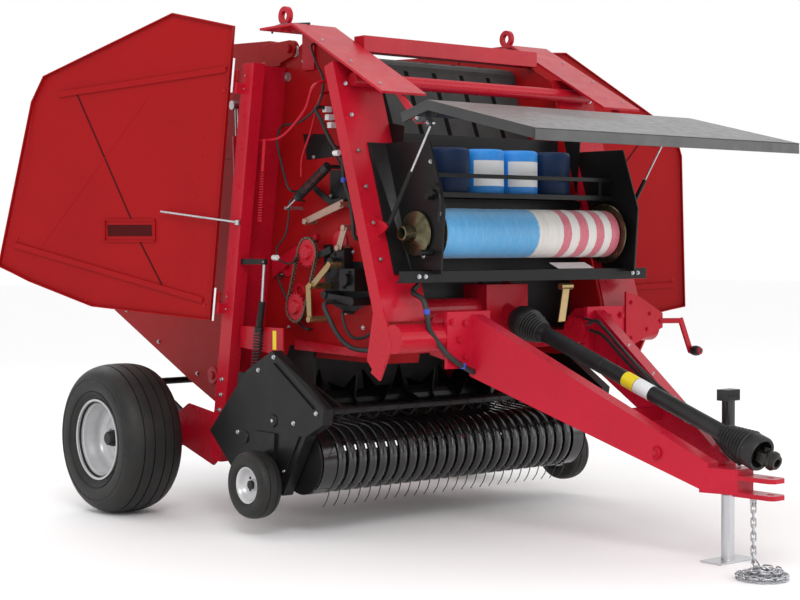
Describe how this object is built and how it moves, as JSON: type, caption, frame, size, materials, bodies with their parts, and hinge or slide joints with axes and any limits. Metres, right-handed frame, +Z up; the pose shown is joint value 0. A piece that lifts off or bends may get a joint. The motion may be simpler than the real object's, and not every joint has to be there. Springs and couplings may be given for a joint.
{
  "type": "round baler",
  "caption": "Trailed belt round baler on two wheels and a jack, with raised hood over a net roll, open side shields, wide tined pickup, V-shaped drawbar and drive shaft.",
  "frame": {"origin": "on the top face of the drawbar's upper jaw, on the machine's centre line, 110 mm behind the jaw's tip", "axes": "+X to the baler's left-hand side, +Y to its rear, +Z up"},
  "size_m": [3.6547, 4.599, 2.608],
  "materials": {
    "red_paint": "glossy red enamel",
    "black_paint": "satin black",
    "tyre_rubber": "matt rubber",
    "rim_silver": "silver paint",
    "belt_rubber": "ribbed belt rubber",
    "bare_steel": "bright steel",
    "galvanised": "galvanised",
    "guard_plastic": "moulded black plastic",
    "net_wrap": "knitted net, blue then white and red",
    "twine_blue": "wound twine with a blank paper label",
    "hose_rubber": "black hose"
  },
  "bodies": {
    "frame": {"side_sheet_right": "red_paint", "side_sheet_left": "red_paint", "hinge_post_right": "red_paint", "hinge_post_left": "red_paint", "front_column_right": "red_paint", "front_column_left": "red_paint", "shoulder_cover_right": "red_paint", "shoulder_cover_left": "red_paint", "top_beam": "red_paint", "front_tube": "red_paint", "gearbox": "red_paint", "axle": "red_paint", "front_belts": "belt_rubber", "feed_throat": "black_paint", "drawbar": "red_paint", "pto_guard": "guard_plastic", "jack_sleeve": "red_paint", "net_holder": "black_paint", "twine_shelf": "black_paint", "twine_balls": "twine_blue", "chain_drive": "bare_steel", "valve_crank": "red_paint", "hydraulic_hose": "hose_rubber", "safety_chain": "galvanised", "safety_chain_pile": "galvanised", "pickup_spring_right": "black_paint", "pickup_spring_left": "black_paint"},
    "wheel_right": {"tyre_right": "tyre_rubber", "rim_right": "rim_silver"},
    "wheel_left": {"tyre_left": "tyre_rubber", "rim_left": "rim_silver"},
    "tailgate": {"tailgate_frame": "red_paint", "tailgate_belts": "belt_rubber"},
    "lift_barrel_right": {"lift_barrel_right": "red_paint"},
    "lift_barrel_left": {"lift_barrel_left": "red_paint"},
    "lift_rod_right": {"lift_rod_right": "bare_steel"},
    "lift_rod_left": {"lift_rod_left": "bare_steel"},
    "kicker": {"bale_kicker": "black_paint"},
    "pickup": {"pickup_end_right": "black_paint", "pickup_end_left": "black_paint", "pickup_bands": "black_paint"},
    "reel": {"pickup_reel": "black_paint"},
    "wind_guard": {"wind_guard": "black_paint"},
    "gauge_right": {"gauge_wheel_right": "tyre_rubber"},
    "gauge_left": {"gauge_wheel_left": "tyre_rubber"},
    "rotor": {"feed_rotor": "red_paint"},
    "shield_right": {"side_shield_right": "red_paint"},
    "shield_left": {"side_shield_left": "red_paint", "prop_rod_left": "galvanised"},
    "prop_rod": {"prop_rod_right": "galvanised"},
    "hood": {"hood": "black_paint"},
    "strut_tube_right": {"hood_strut_tube_right": "black_paint"},
    "strut_tube_left": {"hood_strut_tube_left": "black_paint"},
    "strut_rod_right": {"hood_strut_rod_right": "galvanised"},
    "strut_rod_left": {"hood_strut_rod_left": "galvanised"},
    "net_roll": {"net_roll": "net_wrap"},
    "pto": {"pto_shaft": "bare_steel"},
    "jack_leg": {"jack_leg": "galvanised"}
  },
  "joints": [
    {"name": "wheel_right_spin", "type": "hinge", "parent": "frame", "child": "wheel_right", "pos_m": [-1.15, 3.335, -0.0315], "axis": [1, 0, 0], "continuous": true},
    {"name": "wheel_left_spin", "type": "hinge", "parent": "frame", "child": "wheel_left", "pos_m": [1.15, 3.335, -0.0315], "axis": [1, 0, 0], "continuous": true},
    {"name": "tailgate_lift", "type": "hinge", "parent": "frame", "child": "tailgate", "pos_m": [0, 2.535, 1.995], "axis": [1, 0, 0], "range_deg": [0, 60]},
    {"name": "lift_barrel_right_tilt", "type": "hinge", "parent": "frame", "child": "lift_barrel_right", "pos_m": [-0.76, 2.78, 1.075], "axis": [1, 0, 0], "range_deg": [-9.21, 2]},
    {"name": "lift_rod_right_slide", "type": "slide", "parent": "lift_barrel_right", "child": "lift_rod_right", "axis": [0, 0.039, 0.9992], "range_m": [0, 0.385]},
    {"name": "lift_barrel_left_tilt", "type": "hinge", "parent": "frame", "child": "lift_barrel_left", "pos_m": [0.76, 2.78, 1.075], "axis": [1, 0, 0], "range_deg": [-9.21, 2]},
    {"name": "lift_rod_left_slide", "type": "slide", "parent": "lift_barrel_left", "child": "lift_rod_left", "axis": [0, 0.039, 0.9992], "range_m": [0, 0.385]},
    {"name": "kicker_fold", "type": "hinge", "parent": "frame", "child": "kicker", "pos_m": [0, 3.41, 0.0485], "axis": [-1, 0, 0], "range_deg": [0, 20]},
    {"name": "pickup_lift", "type": "hinge", "parent": "frame", "child": "pickup", "pos_m": [0, 2.635, 0.045], "axis": [-1, 0, 0], "range_deg": [-6, 8], "deforming": ["pickup_spring_right", "pickup_spring_left"]},
    {"name": "gauge_wheel_right_spin", "type": "hinge", "parent": "pickup", "child": "gauge_right", "pos_m": [-1.062, 2.229, -0.173], "axis": [1, 0, 0], "continuous": true},
    {"name": "gauge_wheel_left_spin", "type": "hinge", "parent": "pickup", "child": "gauge_left", "pos_m": [1.062, 2.229, -0.173], "axis": [1, 0, 0], "continuous": true},
    {"name": "reel_spin", "type": "hinge", "parent": "pickup", "child": "reel", "pos_m": [0, 2.065, -0.055], "axis": [1, 0, 0], "continuous": true},
    {"name": "wind_guard_lift", "type": "hinge", "parent": "pickup", "child": "wind_guard", "pos_m": [0, 2.215, 0.375], "axis": [-1, 0, 0], "range_deg": [0, 8]},
    {"name": "rotor_spin", "type": "hinge", "parent": "frame", "child": "rotor", "pos_m": [0, 2.515, 0.165], "axis": [1, 0, 0], "continuous": true},
    {"name": "shield_right_swing", "type": "hinge", "parent": "frame", "child": "shield_right", "pos_m": [-0.9, 2.79957, 0.575], "axis": [0, 0.1527, -0.9883], "range_deg": [-150, 0]},
    {"name": "shield_left_swing", "type": "hinge", "parent": "frame", "child": "shield_left", "pos_m": [0.9, 2.79957, 0.575], "axis": [0, -0.1527, 0.9883], "range_deg": [-64, 86]},
    {"name": "prop_rod_swing", "type": "hinge", "parent": "frame", "child": "prop_rod", "pos_m": [-0.885, 2.62369, 1.105], "axis": [0, 0.1527, -0.9883], "range_deg": [-150, 0]},
    {"name": "hood_close", "type": "hinge", "parent": "frame", "child": "hood", "pos_m": [0, 1.375, 1.575], "axis": [1, 0, 0], "range_deg": [0, 70]},
    {"name": "strut_tube_right_tilt", "type": "hinge", "parent": "frame", "child": "strut_tube_right", "pos_m": [-0.79, 1.535, 1.075], "axis": [1, 0, 0], "range_deg": [-7.48, 1]},
    {"name": "strut_rod_right_slide", "type": "slide", "parent": "strut_tube_right", "child": "strut_rod_right", "axis": [0, -0.5547, 0.8321], "range_m": [-0.1706, 0.002]},
    {"name": "strut_tube_left_tilt", "type": "hinge", "parent": "frame", "child": "strut_tube_left", "pos_m": [0.79, 1.535, 1.075], "axis": [1, 0, 0], "range_deg": [-7.48, 1]},
    {"name": "strut_rod_left_slide", "type": "slide", "parent": "strut_tube_left", "child": "strut_rod_left", "axis": [0, -0.5547, 0.8321], "range_m": [-0.1706, 0.002]},
    {"name": "net_roll_spin", "type": "hinge", "parent": "frame", "child": "net_roll", "pos_m": [0, 1.48, 1.045], "axis": [1, 0, 0], "continuous": true},
    {"name": "pto_spin", "type": "hinge", "parent": "frame", "child": "pto", "pos_m": [0, 1.515, 0.635], "axis": [0, -0.9427, -0.3337], "continuous": true},
    {"name": "jack_slide", "type": "slide", "parent": "frame", "child": "jack_leg", "axis": [0, 0, 1], "range_m": [0, 0.3]}
  ],
  "couplings": [
    {"joint": "lift_barrel_right_tilt", "follows": "tailgate_lift", "ratio": -0.086804},
    {"joint": "lift_rod_right_slide", "follows": "tailgate_lift", "m_per_rad": 0.36474},
    {"joint": "strut_tube_right_tilt", "follows": "hood_close", "ratio": -0.092638},
    {"joint": "strut_rod_right_slide", "follows": "hood_close", "m_per_rad": -0.13801},
    {"joint": "lift_barrel_left_tilt", "follows": "tailgate_lift", "ratio": -0.086804},
    {"joint": "lift_rod_left_slide", "follows": "tailgate_lift", "m_per_rad": 0.36474},
    {"joint": "strut_tube_left_tilt", "follows": "hood_close", "ratio": -0.092638},
    {"joint": "strut_rod_left_slide", "follows": "hood_close", "m_per_rad": -0.13801},
    {"joint": "prop_rod_swing", "follows": "shield_right_swing", "ratio": 1}
  ]
}
